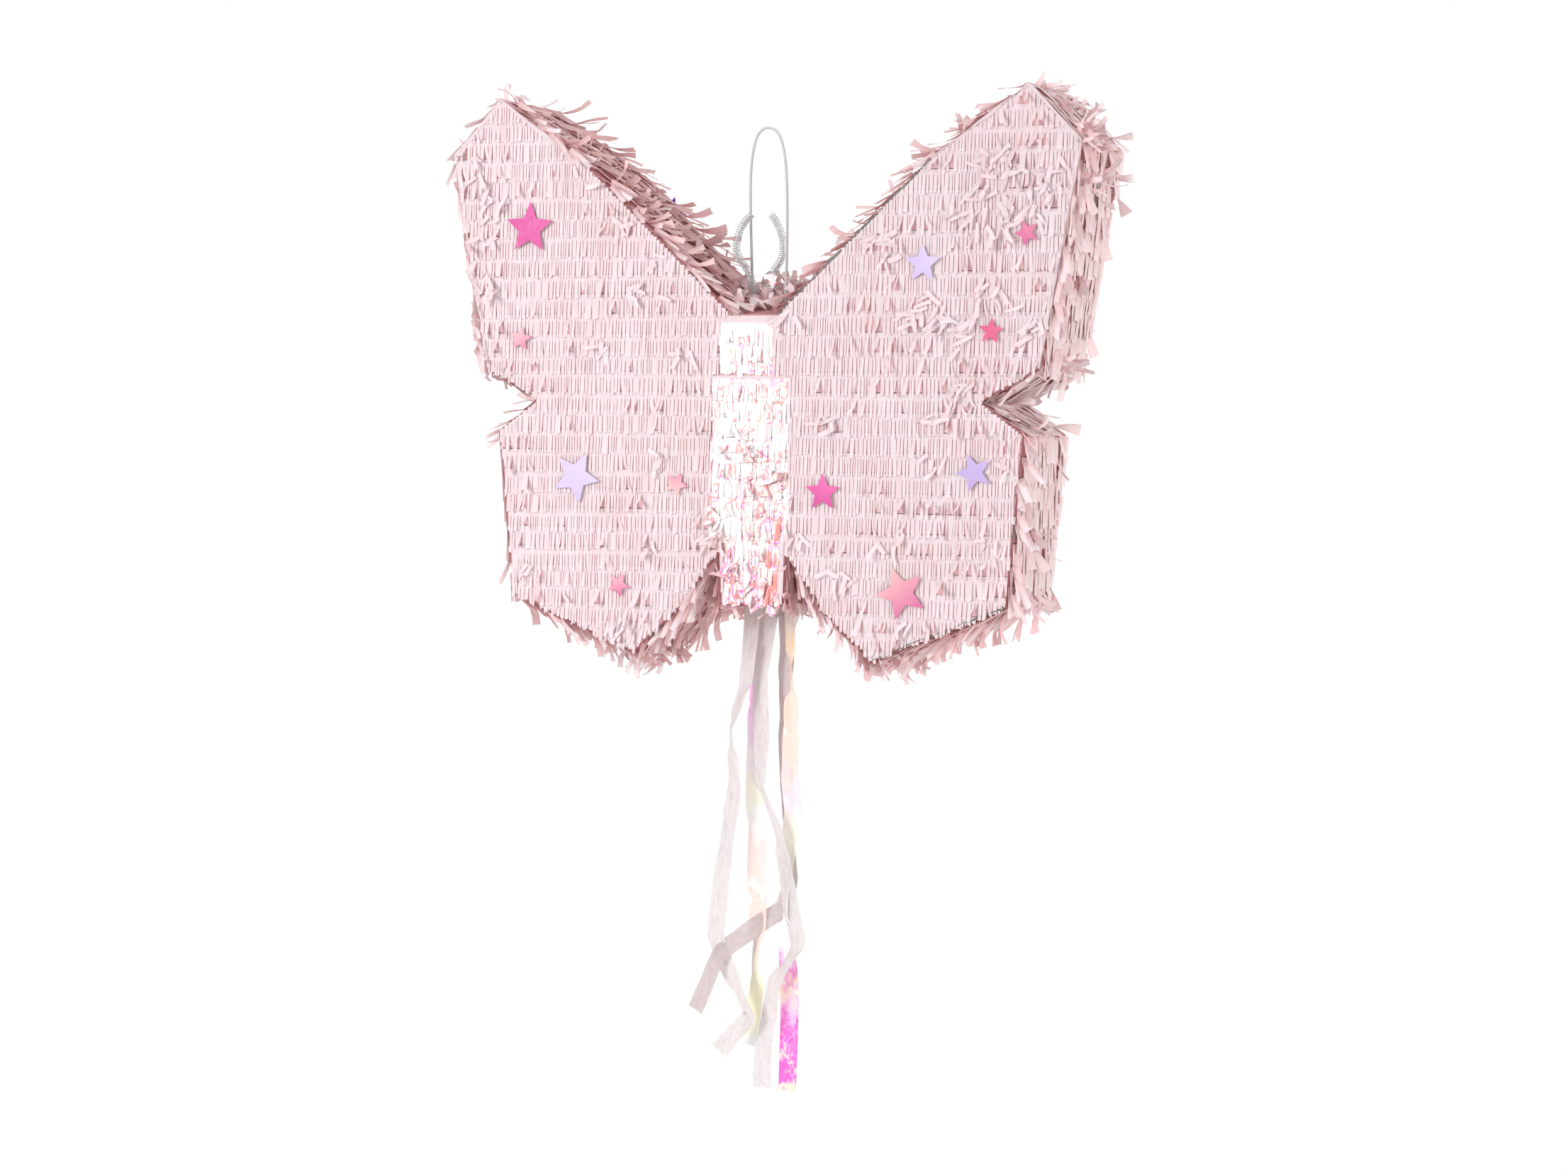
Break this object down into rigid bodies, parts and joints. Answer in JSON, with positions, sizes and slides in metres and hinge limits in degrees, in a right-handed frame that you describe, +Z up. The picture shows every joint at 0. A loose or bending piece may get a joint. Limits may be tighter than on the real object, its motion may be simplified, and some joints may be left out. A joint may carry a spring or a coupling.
{
  "type": "pinata",
  "caption": "Butterfly-shaped hanging pinata: a hollow card box skinned with rows of cut tissue, film body, foil stars, tinsel antennae, cord loop and streamers.",
  "frame": {"origin": "top of the hanging loop, on the cord's centreline, where a line or hook holds it", "axes": "+Z up, -Y out of the decorated front, +X to the right of someone who faces the front"},
  "size_m": [0.4624, 0.0928, 0.6942],
  "materials": {
    "greyboard": "raw grey recycled board",
    "pink_tissue": "pale pink tissue, cut and creased",
    "iridescent_film": "clear iridescent film, crinkled",
    "hot_pink_foil": "hot pink foil film",
    "pink_foil": "pink foil film",
    "lilac_foil": "lilac foil film",
    "violet_foil": "violet foil film",
    "loop_cord": "white braided cord",
    "stem_wire": "bare craft wire",
    "clear_tinsel": "clear bristles",
    "streamer_tissue": "greyish white tissue",
    "streamer_film": "clear iridescent film"
  },
  "bodies": {
    "box": {"abdomen_film": "iridescent_film", "abdomen_floor": "greyboard", "antenna_tinsel": "clear_tinsel", "antenna_wire": "stem_wire", "back_fringe": "pink_tissue", "back_panel": "greyboard", "front_panel": "greyboard", "hanging_loop": "loop_cord", "hot_pink_stars": "hot_pink_foil", "left_abdomen_wall": "greyboard", "left_crotch_wall": "greyboard", "left_front_fringe": "pink_tissue", "left_inner_slope_wall": "greyboard", "left_lobe_base_wall": "greyboard", "left_lobe_inner_wall": "greyboard", "left_lobe_side_fringe": "pink_tissue", "left_lobe_side_wall": "greyboard", "left_outer_slope_wall": "greyboard", "left_slope_fringe": "pink_tissue", "left_tip_wall": "greyboard", "left_underside_fringe": "pink_tissue", "left_waist_fringe": "pink_tissue", "left_waist_lower_wall": "greyboard", "left_waist_upper_wall": "greyboard", "left_wing_side_fringe": "pink_tissue", "left_wing_side_wall": "greyboard", "lilac_stars": "lilac_foil", "loop_knots": "loop_cord", "middle_film": "iridescent_film", "notch_floor": "greyboard", "notch_fringe": "pink_tissue", "pink_stars": "pink_foil", "right_abdomen_wall": "greyboard", "right_crotch_wall": "greyboard", "right_front_fringe": "pink_tissue", "right_inner_slope_wall": "greyboard", "right_lobe_base_wall": "greyboard", "right_lobe_inner_wall": "greyboard", "right_lobe_side_fringe": "pink_tissue", "right_lobe_side_wall": "greyboard", "right_outer_slope_wall": "greyboard", "right_slope_fringe": "pink_tissue", "right_tip_wall": "greyboard", "right_underside_fringe": "pink_tissue", "right_waist_fringe": "pink_tissue", "right_waist_lower_wall": "greyboard", "right_waist_upper_wall": "greyboard", "right_wing_side_fringe": "pink_tissue", "right_wing_side_wall": "greyboard", "upper_film": "iridescent_film", "violet_star": "violet_foil"},
    "flap": {"filling_flap": "greyboard", "flap_fringe": "pink_tissue"},
    "tail": {"left_film_streamer": "streamer_film", "left_tissue_streamer": "streamer_tissue", "long_tissue_streamer": "streamer_tissue", "right_film_streamer": "streamer_film", "short_tissue_streamer": "streamer_tissue"}
  },
  "joints": [
    {"name": "flap_hinge", "type": "hinge", "parent": "box", "child": "flap", "pos_m": [0.006, 0.0561, -0.18], "axis": [1, 0, 0], "range_deg": [0, 110]},
    {"name": "tail_swing", "type": "hinge", "parent": "box", "child": "tail", "pos_m": [0.006, 0.01, -0.3268], "axis": [1, 0, 0], "range_deg": [-25, 25]}
  ]
}
